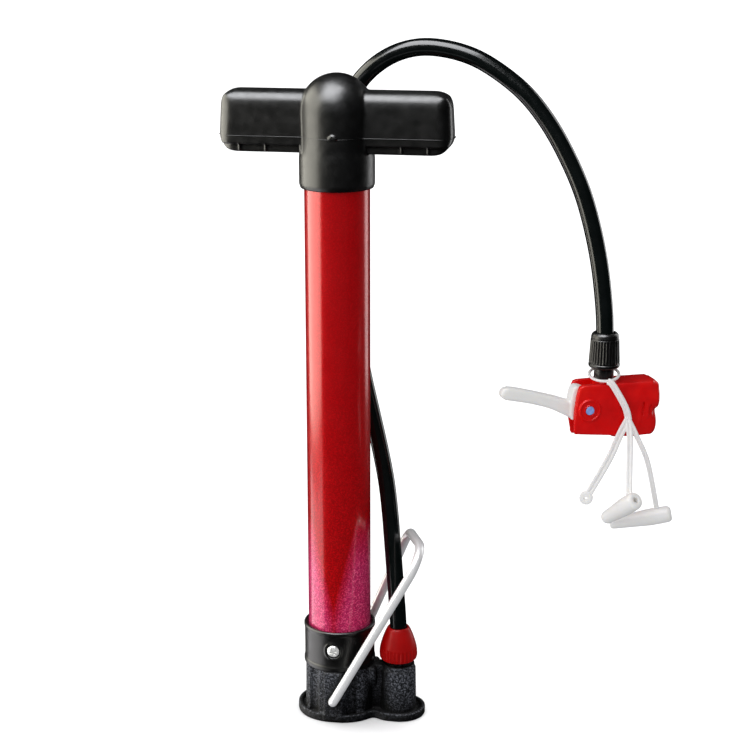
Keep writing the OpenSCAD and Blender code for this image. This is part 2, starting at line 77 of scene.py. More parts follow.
HOSE_R = 4.7
HOSE_ROUTE = [
    (33.8, 0, 44.6), (33.5, 0.2, 56), (32.4, 1, 70), (30.9, 2.8, 86), (29.2, 5.4, 102),
    (27.2, 9, 118), (24.4, 13.4, 134), (20, 18.6, 151), (14.8, 22.6, 170), (9.2, 25.2, 192),
    (4.4, 26.2, 216), (1.8, 26.4, 241), (-3.4, 26.8, 266), (-7.4, 27, 290), (-7.6, 27, 312),
    (-3.4, 27, 332), (4, 27, 349), (13.6, 27, 360.6), (26, 26.6, 368.7), (40, 26.2, 372.4),
    (55, 25.8, 371.5), (70, 25, 367.1), (84.6, 23.4, 358.8), (97.8, 21.4, 348.2), (109.6, 19.2, 334),
    (119.6, 16.8, 317.6), (128, 14.4, 300), (134.2, 12.2, 281), (138.8, 10.4, 261),
    (141.8, 9, 240), (142.8, 8.2, 226), (143, 8, 213.6),
]

STEM = [(145.6, -1, 201.8), (147.8, -1.6, 200.7), (150.9, -1.4, 196), (153.8, -0.8, 190.9),
        (156, 0, 186), (157.2, 0.9, 181)]
LEGS = [
    [(157.2, 0.9, 181), (152.9, 0.4, 171.7), (147.8, 0.8, 158.2), (137.6, 2, 137.4)],
    [(157.2, 0.9, 181), (158.4, -0.8, 171), (158.9, -4.4, 156), (159.4, -11.4, 142.6)],
    [(157.2, 0.9, 181), (161.8, 0.7, 172), (168.4, 2.2, 156.6), (174.4, 6.8, 128.4)],
]
LEG_WIDTHS = (4.1, 3.4, 2.8)
EYELET = (136.2, 2, 134.8)
CONE_ENDS = ((147, -0.1, 124.4), (163.4, -16.7, 142))
BALL_ENDS = ((149.4, 7, 118.8), (182, 7, 127))

# ---------------------------------------------------------------------------
# Camera
# ---------------------------------------------------------------------------

camera = bpy.data.objects.new("camera", bpy.data.cameras.new("camera"))
camera.data.lens = 81.6
camera.data.sensor_width = 36.0
camera.location = (0.1746, -0.8750, 0.447)
camera.rotation_euler = (math.radians(74.4), 0, math.radians(10))
bpy.context.scene.collection.objects.link(camera)
bpy.context.scene.camera = camera

# ---------------------------------------------------------------------------
# Materials
# ---------------------------------------------------------------------------


class Paint:
    """A Principled material with its node tree, and short calls for what feeds the shader."""

    def __init__(self, name, **sockets):
        self.material = bpy.data.materials.new(name)
        self.material.use_nodes = True
        self.tree = self.material.node_tree
        self.shader = self.tree.nodes["Principled BSDF"]
        for key, value in sockets.items():
            self.shader.inputs[key.replace("_", " ")].default_value = value
        self.place = self.node("ShaderNodeTexCoord").outputs["Object"]

    def node(self, kind, **values):
        made = self.tree.nodes.new(kind)
        for key, value in values.items():
            setattr(made, key, value)
        return made

    def link(self, start, end):
        self.tree.links.new(start, end)

    def noise(self, size, detail=3.0, rough=0.55, stretch=None):
        """Noise whose features are about size millimetres across."""
        made = self.node("ShaderNodeTexNoise")
        made.inputs["Scale"].default_value = 1.0 / (size * MM)
        made.inputs["Detail"].default_value = detail
        made.inputs["Roughness"].default_value = rough
        place = self.place
        if stretch:
            squeeze = self.node("ShaderNodeMapping")
            squeeze.inputs["Scale"].default_value = stretch
            self.link(place, squeeze.inputs["Vector"])
            place = squeeze.outputs["Vector"]
        self.link(place, made.inputs["Vector"])
        return made.outputs["Fac"]

    def cells(self, size):
        """A random colour for each cell, about size millimetres across."""
        made = self.node("ShaderNodeTexVoronoi")
        made.inputs["Scale"].default_value = 1.0 / (size * MM)
        self.link(self.place, made.inputs["Vector"])
        return made.outputs["Color"]

    def along(self, axis):
        """The place's X, Y or Z, in metres."""
        split = self.node("ShaderNodeSeparateXYZ")
        self.link(self.place, split.inputs[0])
        return split.outputs[axis]

    def height(self, low, high):
        """0 to 1 between two heights, in millimetres."""
        return self.spread(self.along("Z"), (low * MM, high * MM), (0, 1))

    def aside(self, low, high):
        """0 to 1 by distance from the plane X = 0, in millimetres."""
        across = self.along("X")
        made = self.node("ShaderNodeMath", operation="ABSOLUTE")
        self.link(across, made.inputs[0])
        return self.spread(made.outputs[0], (low * MM, high * MM), (0, 1))

    def sum(self, a, b):
        made = self.node("ShaderNodeMath", operation="ADD")
        self.link(a, made.inputs[0])
        self.link(b, made.inputs[1])
        return made.outputs[0]

    def spread(self, value, found, wanted):
        """The value, with its two found ends brought to the two wanted ones."""
        made = self.node("ShaderNodeMapRange")
        for key, number in zip(("From Min", "From Max", "To Min", "To Max"), (*found, *wanted)):
            made.inputs[key].default_value = number
        self.link(value, made.inputs["Value"])
        return made.outputs["Result"]

    def ramp(self, value, *stops):
        """Colour by value; each stop is a place and a colour."""
        made = self.node("ShaderNodeValToRGB")
        band = made.color_ramp
        while len(band.elements) < len(stops):
            band.elements.new(0.5)
        for element, (spot, colour) in zip(band.elements, stops):
            element.position = spot
            element.color = (*colour, 1)
        self.link(value, made.inputs["Fac"])
        return made.outputs["Color"]

    def mix(self, share, a, b, blend="MIX"):
        """Colour a, with b blended over it by share; each is a socket or a fixed value."""
        made = self.node("ShaderNodeMix", data_type="RGBA", blend_type=blend)
        for source, socket in ((share, 0), (a, 6), (b, 7)):
            if isinstance(source, bpy.types.NodeSocket):
                self.link(source, made.inputs[socket])
            else:
                made.inputs[socket].default_value = source
        return made.outputs[2]

    def colour(self, value):
        self.link(value, self.shader.inputs["Base Color"])

    def roughness(self, value, low, high):
        """Roughness from low to high, as noise runs over its middle part."""
        self.link(self.spread(value, (0.3, 0.7), (low, high)), self.shader.inputs["Roughness"])

    def crevice(self, reach):
        """1 in the open, falling to 0 where walls closer than reach millimetres shut out the light."""
        made = self.node("ShaderNodeAmbientOcclusion", samples=6)
        made.inputs["Distance"].default_value = reach * MM
        return made.outputs["AO"]

    def bump(self, value, depth, strength=1.0, under=None):
        """Bump of that depth in millimetres; under is an earlier bump that it lies on."""
        made = self.node("ShaderNodeBump")
        made.inputs["Distance"].default_value = depth * MM
        made.inputs["Strength"].default_value = strength
        self.link(value, made.inputs["Height"])
        if under:
            self.link(under, made.inputs["Normal"])
        self.link(made.outputs["Normal"], self.shader.inputs["Normal"])
        return made.outputs["Normal"]


def black_plastic():
    """Satin black moulding: faint cloudy tone, fine spark grain and a few flow marks."""
    p = Paint("black_plastic", Specular_IOR_Level=0.5)
    tone = 0.0024
    cloud = p.noise(9, 4)
    p.colour(p.ramp(cloud, (0.3, (tone * 0.8, tone * 0.82, tone * 0.86)),
                    (0.7, (tone * 1.35, tone * 1.35, tone * 1.4))))
    p.roughness(p.noise(5, 5), 0.3, 0.42)
    flow = p.bump(p.noise(7, 2, stretch=(1, 1, 0.35)), 0.05, 0.5)
    p.bump(p.noise(0.35, 2), 0.02, 0.6, under=flow)
    return p.material


def spark_plastic():
    """Charcoal moulding with the coarse speckled texture of a spark-eroded mould, and painted shade
    that darkens its crevices.
    """
    p = Paint("charcoal_plastic", Specular_IOR_Level=0.18)
    speck = p.noise(1.1, 3, 0.7)
    open_tone = p.ramp(speck, (0.4, (0.002, 0.0025, 0.003)), (0.5, (0.024, 0.027, 0.032)),
                       (0.62, (0.15, 0.157, 0.175)))
    # Painted shade: the colour falls to near black where nearby walls shut out the light, and is a
    # little lighter in the open.
    shut = p.ramp(p.crevice(24), (0.62, (0.01, 0.01, 0.01)), (0.93, (1.1, 1.1, 1.15)))
    p.colour(p.mix(1.0, open_tone, shut, "MULTIPLY"))
    p.roughness(speck, 0.8, 0.5)
    broad = p.bump(p.noise(1.3, 3, 0.6), 0.16, 0.9)
    p.bump(p.noise(0.5, 2), 0.08, 0.8, under=broad)
    return p.material


def candy_red():
    """Metallic red paint under clear coat, with painted reflection that turns it pink towards the foot
    and away from X = 0; the flake's bump and its painted glints grow towards the foot.
    """
    p = Paint("red_metallic", Metallic=0.15, Coat_Weight=0.7, Coat_Roughness=0.16,
              Coat_IOR=1.5, Specular_IOR_Level=0.08)
    # Painted reflection: deep red turns to pink towards the foot and away from the plane X = 0, where
    # the pale floor would reflect.
    rise = p.height(60, 200)
    centre = p.spread(p.aside(0, 12), (0, 1), (0.4, -0.15))
    unreflected_share = p.spread(p.sum(p.height(58, 150), centre), (0.2, 0.65), (0, 1))
    body = p.ramp(unreflected_share, (0.0, (0.74, 0.03, 0.16)), (0.4, (0.62, 0.01, 0.06)),
                  (0.7, (0.5, 0.0002, 0.0025)))
    flake = p.cells(0.6)
    grey = p.node("ShaderNodeRGBToBW")
    p.link(flake, grey.inputs[0])
    # Painted glints: each flake cell tints the colour, up to bright pink flecks, and they count most
    # near the foot.
    painted_flake_glints = p.ramp(grey.outputs[0], (0.3, (0.6, 0.5, 0.55)), (0.6, (1, 1, 1)),
                     (0.85, (1.35, 4.5, 1.9)))
    strength = p.spread(rise, (0, 1), (0.95, 0.3))
    p.colour(p.mix(strength, body, p.mix(1.0, body, painted_flake_glints, "MULTIPLY")))
    p.roughness(p.noise(14, 3), 0.3, 0.4)
    p.bump(p.mix(strength, (0.5, 0.5, 0.5, 1), flake), 0.012, 0.35)
    return p.material


def gloss_red():
    """Glossy red moulding with faint flow marks, an orange cast in random patches, and painted shade
    that makes it darker and browner low down.
    """
    p = Paint("red_plastic", Specular_IOR_Level=0.15, Coat_Weight=0.04, Coat_Roughness=0.2)
    tone = p.ramp(p.noise(16, 3), (0.3, (0.60, 0.0003, 0.0008)), (0.55, (0.74, 0.0006, 0.001)),
                  (0.75, (0.84, 0.006, 0.002)))
    # Painted shade: darker and browner below 45 to 120 mm, which dims the hose nut low on the base.
    shade = p.ramp(p.height(45, 120), (0.0, (0.6, 0.25, 0.25)), (1.0, (1, 1, 1)))
    p.colour(p.mix(1.0, tone, shade, "MULTIPLY"))
    p.roughness(p.noise(6, 3), 0.3, 0.4)
    flow = p.bump(p.noise(9, 2), 0.06, 0.4)
    p.bump(p.noise(0.6, 2), 0.006, 0.4, under=flow)
    return p.material


def hose_rubber():
    """Glossy extruded PVC: faint cloudy tone, a soft ripple and fine grain."""
    p = Paint("hose_rubber", Specular_IOR_Level=0.3, Coat_Weight=0.15, Coat_Roughness=0.08)
    p.colour(p.ramp(p.noise(8, 3), (0.3, (0.002, 0.0035, 0.0034)), (0.7, (0.004, 0.006, 0.006))))
    p.roughness(p.noise(3, 4), 0.16, 0.24)
    ripple = p.bump(p.noise(14, 1), 0.06, 0.4)
    p.bump(p.noise(0.8, 3), 0.02, 0.4, under=ripple)
    return p.material


def matt_rubber():
    """Dull moulded rubber of the gaskets and grommets."""
    p = Paint("black_rubber", Specular_IOR_Level=0.4, Sheen_Weight=0.1, Sheen_Roughness=0.5)
    p.colour(p.ramp(p.noise(2, 4), (0.3, (0.012, 0.012, 0.012)), (0.7, (0.024, 0.024, 0.023))))
    p.roughness(p.noise(1.5, 4), 0.62, 0.8)
    p.bump(p.noise(0.3, 2), 0.02, 0.6)
    return p.material


def milky_plastic():
    """Soft milky polythene that lets a little light through."""
    p = Paint("milky_plastic", Specular_IOR_Level=0.2, Subsurface_Weight=0.55,
              Subsurface_Scale=0.003, Subsurface_Radius=(1.0, 0.95, 0.85),
              Sheen_Weight=0.35, Sheen_Roughness=0.5)
    p.colour(p.ramp(p.noise(5, 4), (0.3, (0.92, 0.91, 0.89)), (0.7, (0.97, 0.96, 0.94))))
    p.roughness(p.noise(2.5, 4), 0.4, 0.52)
    p.bump(p.noise(2.2, 3), 0.05, 0.5)
    return p.material


def ivory_plastic():
    """Plain ivory moulding of the parts inside."""
    p = Paint("ivory_plastic", Specular_IOR_Level=0.45, Subsurface_Weight=0.2,
              Subsurface_Scale=0.002)
    p.colour(p.ramp(p.noise(4, 4), (0.3, (0.62, 0.58, 0.48)), (0.7, (0.74, 0.70, 0.60))))
    p.roughness(p.noise(2, 4), 0.4, 0.55)
    p.bump(p.noise(1.2, 3), 0.03, 0.5)
    return p.material


def blue_plastic():
    """Light blue moulding of the lever's pin."""
    p = Paint("blue_plastic", Specular_IOR_Level=0.5, Coat_Weight=0.3, Coat_Roughness=0.15)
    p.colour(p.ramp(p.noise(1.4, 3), (0.3, (0.2, 0.32, 0.8)), (0.7, (0.34, 0.5, 0.95))))
    p.roughness(p.noise(1.2, 3), 0.25, 0.4)
    p.bump(p.noise(0.6, 3), 0.02, 0.5)
    return p.material


def plated(name, dark, light, rough, drawn=(1, 1, 1), metal=1.0):
    """Plated metal with faint drawn lines and small clouds of dulling."""
    p = Paint(name, Metallic=metal)
    p.colour(p.ramp(p.noise(3, 4), (0.3, dark), (0.7, light)))
    p.roughness(p.noise(1.8, 5), *rough)
    p.bump(p.noise(0.7, 3, stretch=drawn), 0.012, 0.5)
    return p.material


MATERIALS = {
    "charcoal_plastic": spark_plastic(),
    "black_plastic": black_plastic(),
    "red_metallic": candy_red(),
    "bright_steel": plated("bright_steel", (0.82, 0.82, 0.81), (0.93, 0.93, 0.92), (0.24, 0.34),
                           metal=0.35),
    "plated_wire": plated("plated_wire", (0.93, 0.93, 0.94), (0.98, 0.98, 0.99), (0.3, 0.36),
                          (1, 1, 0.2), metal=0.2),
    "brass": plated("brass", (0.55, 0.38, 0.14), (0.72, 0.53, 0.22), (0.25, 0.4)),
    "red_plastic": gloss_red(),
    "hose_rubber": hose_rubber(),
    "black_rubber": matt_rubber(),
    "ivory_plastic": ivory_plastic(),
    "milky_plastic": milky_plastic(),
    "blue_plastic": blue_plastic(),
}

for part in frame["record"]["subparts"]:
    materials = NODES[part["node"]].data.materials
    materials.clear()
    materials.append(MATERIALS[part["material_slot"]])

# ---------------------------------------------------------------------------
# Meshes
# ---------------------------------------------------------------------------


def piece(name, shape, slot, body="pump", stands_for=(), crease=None):
    """An object from (points in millimetres, faces) that rides on body and stands for nodes."""
    points, faces = shape
    mesh = bpy.data.meshes.new(name)
    mesh.from_pydata((np.asarray(points, float) * MM).tolist(), [], [list(f) for f in faces])
    mesh.validate()
    mesh.polygons.foreach_set("use_smooth", [True] * len(mesh.polygons))
    if crease:
        mesh.set_sharp_from_angle(angle=math.radians(crease))
    mesh.update()
    made = bpy.data.objects.new(name, mesh)
    bpy.context.scene.collection.objects.link(made)
    mesh.materials.append(MATERIALS[slot])
    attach(made, body)
    if stands_for:
        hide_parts(*stands_for)
    return made


def merged(*shapes):
    """Several (points, faces) as one."""
    points, faces, base = [], [], 0
    for p, f in shapes:
        points.append(np.asarray(p, float))
        faces += [[i + base for i in face] for face in f]
        base += len(p)
    return np.concatenate(points), faces


def turned(profile, sides=96, centre=(0, 0), push=None):
    """A closed outline of (radius, height) turned round a vertical line. push(height, angle,
    radius) is how far the surface is moved outward there."""
    outline = np.array(profile, float)
    angle = np.linspace(0, 2 * np.pi, sides, endpoint=False)
    r, z = (np.repeat(outline[:, i][:, None], sides, 1) for i in (0, 1))
    if push:
        r = r + push(z, np.repeat(angle[None], len(outline), 0), r)
    points = np.stack([centre[0] + r * np.cos(angle), centre[1] + r * np.sin(angle), z], -1)
    n = len(outline)
    faces = [[i * sides + k, i * sides + (k + 1) % sides,
              (i + 1) % n * sides + (k + 1) % sides, (i + 1) % n * sides + k]
             for i in range(n) for k in range(sides)]
    return points.reshape(-1, 3), faces


def soften(outline, radius, steps=4):
    """A closed outline of (radius, height) with each corner rounded, and straight runs cut up."""
    corners = np.array(outline, float)
    n, made = len(corners), []
    for i in range(n):
        before, here, after = corners[i - 1], corners[i], corners[(i + 1) % n]
        a, b = before - here, after - here
        la, lb = np.linalg.norm(a), np.linalg.norm(b)
        reach = min(radius, la * 0.45, lb * 0.45)
        start, end = here + a / la * reach, here + b / lb * reach
        for t in np.linspace(0, 1, steps + 1):
            made.append((1 - t) ** 2 * start + 2 * t * (1 - t) * here + t * t * end)
    return made


def finer(outline, step):
    """The closed outline with no run longer than step."""
    made = []
    for i, here in enumerate(outline):
        after = outline[(i + 1) % len(outline)]
        parts = max(1, math.ceil(np.linalg.norm(np.subtract(after, here)) / step))
        made += [np.add(here, np.subtract(after, here) * k / parts) for k in range(parts)]
    return made


def curve(route, parts):
    """A smooth line through the route's points, parts steps to a span."""
    p = np.array(route, float)
    p = np.concatenate([p[:1], p, p[-1:]])
    made = []
    for a, b, c, d in zip(p, p[1:], p[2:], p[3:]):
        for t in np.arange(parts) / parts:
            made.append(0.5 * (2 * b + (c - a) * t + (2 * a - 5 * b + 4 * c - d) * t * t
                               + (3 * b - a - 3 * c + d) * t ** 3))
    return np.array(made + [p[-1]])


def swept(line, section, side):
    """A section of (across, up) carried along line without twisting, and closed at both ends.
    across starts square to the direction side."""
    line = np.array(line, float)
    along = np.gradient(line, axis=0)
    along /= np.linalg.norm(along, axis=1)[:, None]
    across = np.cross(along[0], side)
    across /= np.linalg.norm(across)
    section = np.array(section, float)
    n, rings = len(section), []
    for spot, way in zip(line, along):
        across = across - way * (across @ way)
        across /= np.linalg.norm(across)
        up = np.cross(across, way)
        rings.append(spot + (section[:, :1] * across + section[:, 1:] * up))
    faces = [[i * n + k, i * n + (k + 1) % n, (i + 1) * n + (k + 1) % n, (i + 1) * n + k]
             for i in range(len(line) - 1) for k in range(n)]
    last = (len(line) - 1) * n
    faces += [list(range(n))[::-1], [last + k for k in range(n)]]
    return np.concatenate(rings), faces


def ring(r, sides, other=None):
    """Points of a circle, or of an ellipse with other as its second radius."""
    angle = np.linspace(0, 2 * np.pi, sides, endpoint=False)
    return np.stack([r * np.cos(angle), (other or r) * np.sin(angle)], 1)


def bend(a, corner, b, radius, steps=10):
    """Points of a round bend at corner, between lines from a and to b."""
    a, corner, b = (np.array(x, float) for x in (a, corner, b))
    d1, d2 = (corner - a) / np.linalg.norm(corner - a), (b - corner) / np.linalg.norm(b - corner)
    turn = math.acos(d1 @ d2)
    inward = d2 - (d1 @ d2) * d1
    inward /= np.linalg.norm(inward)
    centre = corner - d1 * radius * math.tan(turn / 2) + inward * radius
    return [centre + radius * (d1 * math.sin(t) - inward * math.cos(t))
            for t in np.linspace(0, turn, steps + 1)]


# ---------------------------------------------------------------------------
# Moulded shapes: each is a field that is negative inside the plastic
# ---------------------------------------------------------------------------


def join(a, b, blend):
    """Both shapes, with a fillet where they meet."""
    h = np.maximum(blend - np.abs(a - b), 0) / blend
    return np.minimum(a, b) - h * h * blend / 4


def common(a, b, blend):
    """What is in both shapes, with the edge eased."""
    return -join(-a, -b, blend)


def cut(a, b, blend):
    """Shape a without shape b, with the edge eased."""
    return common(a, -b, blend)


def outside(*walls):
    """Distance to a box-like shape from its walls' own distances."""
    walls = np.stack(walls)
    return np.linalg.norm(np.maximum(walls, 0), axis=0) + np.minimum(walls.max(0), 0)


def block(p, low, high, soft=0.0):
    """A box with round edges."""
    low, high = np.array(low, float), np.array(high, float)
    q = np.abs(p - (low + high) / 2) - ((high - low) / 2 - soft)
    return outside(*q.T) - soft


def bar(p, axis, centre, r, start, end, soft=0.0):
    """A round bar along an axis (0, 1 or 2); centre is its place on the other two."""
    u, v = [i for i in (0, 1, 2) if i != axis]
    wall = np.hypot(p[:, u] - centre[0], p[:, v] - centre[1]) - (r - soft)
    cap = np.abs(p[:, axis] - (start + end) / 2) - ((end - start) / 2 - soft)
    return outside(wall, cap) - soft


def inside_outline(x, y, outline):
    """Signed distance to a closed polygon."""
    corners = np.array(outline, float)
    best, sign = np.full(x.shape, 1e9), np.ones(x.shape)
    for (ax, ay), (bx, by) in zip(corners, np.roll(corners, -1, 0)):
        ex, ey, wx, wy = bx - ax, by - ay, x - ax, y - ay
        t = np.clip((wx * ex + wy * ey) / (ex * ex + ey * ey), 0, 1)
        best = np.minimum(best, (wx - ex * t) ** 2 + (wy - ey * t) ** 2)
        crossed = ((ay > y) != (by > y)) & (
            x < (bx - ax) * (y - ay) / (by - ay + (by == ay)) + ax)
        sign = np.where(crossed, -sign, sign)
    return sign * np.sqrt(best)


# Grid steps, in millimetres
GRID = {"screw": 0.16, "head": 0.36, "collar": 0.5, "base": 0.55, "handle": 0.72}
CHUNK = 200000  # grid points worked out at a time
PULLS = 3  # times the points are drawn onto the surface


def netted(field, low, high, step):
    """The surface where field is zero, as points and four-sided faces on a grid of that step."""
    low = np.array(low, float)
    counts = [math.ceil((b - a) / step) + 1 for a, b in zip(low, high)]
    axes = [a + step * np.arange(n) for a, n in zip(low, counts)]
    grid = np.stack(np.meshgrid(*axes, indexing="ij"), -1).reshape(-1, 3)
    value = np.concatenate([field(part) for part in np.array_split(grid, 1 + len(grid) // CHUNK)])
    value = value.reshape(counts)
    cells = [n - 1 for n in counts]
    total, found = np.zeros((*cells, 3)), np.zeros(cells)
    edges = []
    for axis in range(3):
        u, v = (axis + 1) % 3, (axis + 2) % 3
        a = np.moveaxis(value, axis, 0)[:-1]
        b = np.moveaxis(value, axis, 0)[1:]
        a, b = (np.moveaxis(w, 0, axis) for w in (a, b))
        crossing = (a < 0) != (b < 0)
        share = np.where(crossing, a / np.where(a == b, 1, a - b), 0)
        for du in (0, 1):
            for dv in (0, 1):
                part = [slice(None)] * 3
                part[u] = slice(du, du + cells[u])
                part[v] = slice(dv, dv + cells[v])
                on = crossing[tuple(part)]
                total[..., axis] += share[tuple(part)]
                total[..., u] += du * on
                total[..., v] += dv * on
                found += on
        edges.append((crossing, a < 0, u, v))
    used = found > 0
    index = np.full(cells, -1)
    index[used] = np.arange(used.sum())
    points = low + step * (np.argwhere(used) + total[used] / found[used][:, None])
    faces = []
    for axis, (crossing, inward, u, v) in enumerate(edges):
        spots = np.argwhere(crossing)
        spots = spots[(spots[:, u] > 0) & (spots[:, u] < cells[u])
                      & (spots[:, v] > 0) & (spots[:, v] < cells[v])]
        corner = []
        for du, dv in ((-1, -1), (0, -1), (0, 0), (-1, 0)):
            at = spots.copy()
            at[:, u] += du
            at[:, v] += dv
            corner.append(index[tuple(at.T)])
        quads = np.stack(corner, 1)
        flip = ~inward[tuple(spots.T)]
        quads[flip] = quads[flip][:, ::-1]
        faces.append(quads)
    for _ in range(PULLS):
        here, reach = field(points), step * 0.05
        slope = np.stack([(field(points + reach * e) - field(points - reach * e)) / (2 * reach)
                          for e in np.eye(3)], 1)
        move = slope * (here / np.maximum((slope ** 2).sum(1), 0.05))[:, None]
        size = np.linalg.norm(move, axis=1)[:, None]
        points -= move * np.minimum(1, 0.6 * step / np.maximum(size, 1e-9))
    return points, np.concatenate(faces).tolist()


def head_frame(points):
    """Points of the pump head's own frame, in the row frame."""
    p = np.asarray(points, float)
    c, s = math.cos(HEAD_TURN), math.sin(HEAD_TURN)
    return np.stack([HEAD_POS[0] + c * p[:, 0] - s * p[:, 1],
                     HEAD_POS[1] + s * p[:, 0] + c * p[:, 1], p[:, 2]], 1)


def in_head(shape):
    """A shape of the pump head's own frame, in the row frame."""
    return head_frame(shape[0]), shape[1]


# ---------------------------------------------------------------------------
# Hose
# ---------------------------------------------------------------------------

hose_line = curve(HOSE_ROUTE, 6)
hose = piece("hose_tube", swept(hose_line, ring(HOSE_R, 28), (0, 1, 0)), "hose_rubber",
             stands_for=["hose"], crease=60)

# ---------------------------------------------------------------------------
# Barrel and collar
# ---------------------------------------------------------------------------

foot, top = BARREL_Z
barrel_outline = soften([(BORE_R, foot), (BARREL_R, foot), (BARREL_R, top), (BORE_R, top)], 0.3)
piece("barrel_tube", turned(finer(barrel_outline, 12), 144),
      "red_metallic", stands_for=["barrel"], crease=50)


def collar_field(p):
    """The ring round the barrel's foot, with a raised lip and the two sunk screw seats."""
    r = np.hypot(p[:, 0], p[:, 1])
    shape = bar(p, 2, (0, 0), COLLAR_R - 0.35, COLUMN_H, COLLAR_TOP - 1.2, 0.5)
    lip = bar(p, 2, (0, 0), COLLAR_R, COLLAR_TOP - 2.6, COLLAR_TOP, 0.9)
    foot = bar(p, 2, (0, 0), COLLAR_R - 0.05, COLUMN_H, COLUMN_H + 2.6, 0.6)
    shape = join(join(shape, lip, 0.5), foot, 1.0)
    shape = cut(shape, r - (BARREL_R + 0.1 + 0.7 * np.clip(p[:, 2] - COLLAR_TOP + 1.4, 0, 1)), 0.3)
    sink = np.hypot(p[:, 0], p[:, 2] - SCREW_Z)
    rim = np.abs(sink - 4.7) - 0.45
    shape = join(shape, outside(rim, r - COLLAR_R + 0.1, BARREL_R + 1 - r), 0.5)
    pocket = outside(sink - 4.15, COLLAR_R - 0.95 - np.abs(p[:, 1]))
    hole = outside(sink - 1.6, 10 - np.abs(p[:, 1]))
    return cut(cut(shape, pocket, 0.25), hole, 0.2)


piece("collar_shell",
      netted(collar_field, (-21, -21, COLUMN_H - 1), (21, 21, COLLAR_TOP + 1), GRID["collar"]),
      "black_plastic", stands_for=["barrel_collar"])


def screw_field(p):
    """One pan-head screw that faces -Y; the other is its mirror image."""
    q = np.stack([p[:, 0], np.abs(p[:, 1]), p[:, 2] - SCREW_Z], 1)
    face = COLLAR_R - 0.75
    dome = np.linalg.norm(q - np.array([0, face + 1.6 - 5.4, 0]), axis=1) - 5.4
    head = common(dome, outside(np.hypot(q[:, 0], q[:, 2]) - 3.5, face - q[:, 1]), 0.5)
    shank = bar(q, 1, (0, 0), 1.5, face - 9, face + 0.5)
    shape = join(head, shank, 0.2)
    turn = math.radians(24)
    u = q[:, 0] * math.cos(turn) + q[:, 2] * math.sin(turn)
    v = q[:, 2] * math.cos(turn) - q[:, 0] * math.sin(turn)
    deep = q[:, 1] - face
    slope = 0.45 * np.clip(1.6 - deep, 0, 2)
    for a, b in ((u, v), (v, u)):
        arm = outside(np.abs(a) - 2.3 + slope, np.abs(b) - 0.42, 0.35 - deep)
        shape = cut(shape, arm, 0.12)
    return shape


front = netted(screw_field, (-4.2, -22.2, SCREW_Z - 4.2), (4.2, -9.6, SCREW_Z + 4.2),
               GRID["screw"])
back = (front[0] * [1, -1, 1], [f[::-1] for f in front[1]])
piece("screw_pair", merged(front, back), "bright_steel", stands_for=["collar_screws"])

# ---------------------------------------------------------------------------
# Base
# ---------------------------------------------------------------------------

PAD_W, PAD_Y = 5.35, 21.0
LOBE_R, LOBE_SHIFT = 20.8, 3.0
PORT_LOBE_R, PORT_LOBE_SHIFT = 14.1, (-2.5, 1.2)
FLANGE_H = 4.5
BOSS_R, NECK_R, NECK_TOP = 10.2, 7.0, 43.0
FLUTE_ANGLES, FLUTE_R, FLUTE_OUT = (62, 127, 168, 192, 233, 298), 4.9, 2.6
WEB_X, WEB_Y, SWELL_Y, SWELL_X = 12, 4.5, 9, 22.2


def flange_outline(p):
    """Distance from the two-lobed edge of the flange, seen from above."""
    x = np.maximum(np.abs(p[:, 0]) - LOBE_SHIFT, 0)
    lobe = np.hypot(x, p[:, 1]) - LOBE_R
    x = p[:, 0] - PORT_X
    x = x - np.clip(x, *PORT_LOBE_SHIFT)
    port = np.hypot(x, p[:, 1]) - PORT_LOBE_R
    return join(lobe, port, 4.5)


